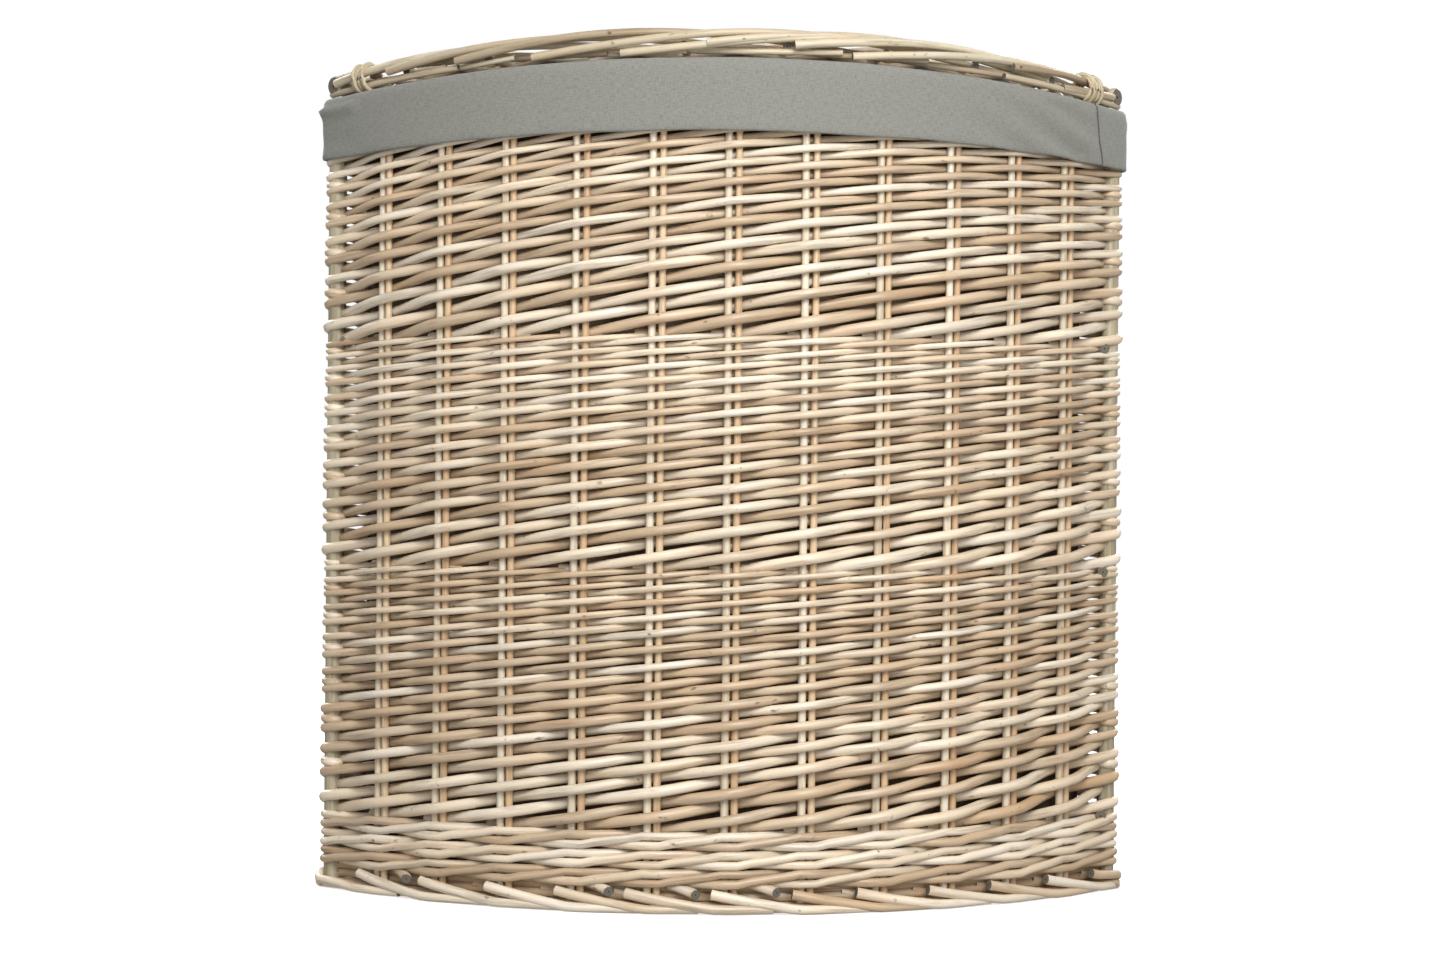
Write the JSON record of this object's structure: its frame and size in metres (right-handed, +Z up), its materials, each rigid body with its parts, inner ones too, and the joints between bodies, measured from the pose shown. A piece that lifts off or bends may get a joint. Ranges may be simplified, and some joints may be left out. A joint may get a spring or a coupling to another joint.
{
  "type": "corner laundry basket",
  "caption": "Quarter-round woven willow laundry basket with corner posts, a sewn cloth liner turned over the rim, and a woven lid on willow loops.",
  "frame": {"origin": "middle of the bottom of the overall box, on the floor", "axes": "+Z up; -Y towards the curved front; +X to the right as seen from the front, and the basket is the same on both sides of X = 0"},
  "size_m": [0.5538, 0.3459, 0.5668],
  "materials": {
    "woven_willow": "washed, matte",
    "willow_rod": "washed, matte",
    "willow_stick": "washed, matte",
    "willow_skein": "split willow, matte",
    "liner_cloth": "plain slubbed weave"
  },
  "bodies": {
    "basket": {"foot_border": "woven_willow", "base_weave": "woven_willow", "base_sticks": "willow_rod", "front_left_post": "willow_stick", "front_right_post": "willow_stick", "back_left_post": "willow_stick", "back_right_post": "willow_stick", "front_stakes": "willow_rod", "front_by_stakes": "willow_rod", "left_stakes": "willow_rod", "left_by_stakes": "willow_rod", "right_stakes": "willow_rod", "right_by_stakes": "willow_rod", "back_stakes": "willow_rod", "back_by_stakes": "willow_rod", "wale_round_1": "woven_willow", "wale_round_2": "woven_willow", "wale_round_3": "woven_willow", "lower_randing": "woven_willow", "middle_randing": "woven_willow", "upper_randing": "woven_willow", "top_wale": "woven_willow", "top_border": "woven_willow", "liner_base_panel": "liner_cloth", "liner_front_panel": "liner_cloth", "liner_left_panel": "liner_cloth", "liner_right_panel": "liner_cloth", "liner_back_panel": "liner_cloth", "cuff_front": "liner_cloth", "cuff_left": "liner_cloth", "cuff_right": "liner_cloth", "cuff_back": "liner_cloth", "hinge_loop_left": "willow_skein", "hinge_loop_right": "willow_skein"},
    "lid": {"lid_hinge_stick": "willow_stick", "lid_left_stick": "willow_stick", "lid_right_stick": "willow_stick", "lid_ribs": "willow_rod", "lid_rib_ties": "willow_skein", "lid_weave": "woven_willow", "lid_front_border": "woven_willow", "lid_binding_left": "willow_skein", "lid_binding_right": "willow_skein"}
  },
  "joints": [
    {"name": "lid_hinge", "type": "hinge", "parent": "basket", "child": "lid", "pos_m": [0, 0.1594, 0.5433], "axis": [-1, 0, 0], "range_deg": [0, 100]}
  ]
}
